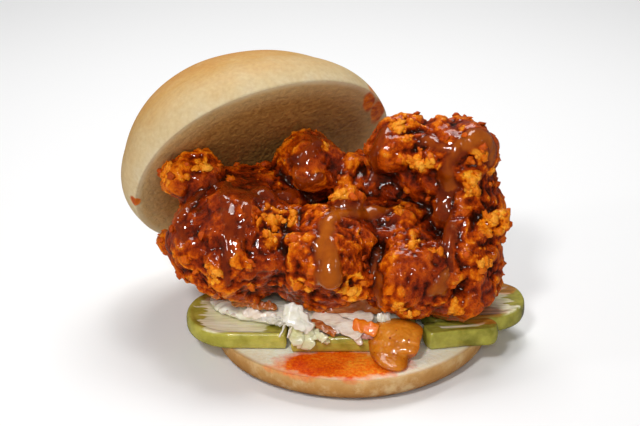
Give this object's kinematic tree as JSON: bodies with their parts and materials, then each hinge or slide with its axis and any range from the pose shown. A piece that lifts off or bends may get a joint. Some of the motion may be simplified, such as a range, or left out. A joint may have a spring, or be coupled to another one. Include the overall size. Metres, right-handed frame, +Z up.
{
  "type": "chicken burger",
  "caption": "Fried chicken burger with its crown tipped back: round bun, pickle slabs, slaw, one large crisp piece under thick sauce.",
  "frame": {"origin": "centre of the heel's flat base", "axes": "+Z up out of the base, +X to the eater's right, -Y towards the eater, crown leaning to the rear left"},
  "size_m": [0.1482, 0.1229, 0.1027],
  "materials": {
    "heel_bread": "soft matt crumb",
    "crown_bread": "thin toasted skin",
    "pickle": "wet",
    "slaw": "wet",
    "crust": "craggy, part glazed",
    "sauce": "wet gloss"
  },
  "bodies": {
    "root": {"bun_heel": "heel_bread", "pickle_left": "pickle", "pickle_middle": "pickle", "pickle_right_front": "pickle", "pickle_right_rear": "pickle", "slaw": "slaw", "chicken": "crust", "sauce_pool": "sauce", "bun_crown": "crown_bread"}
  },
  "joints": []
}
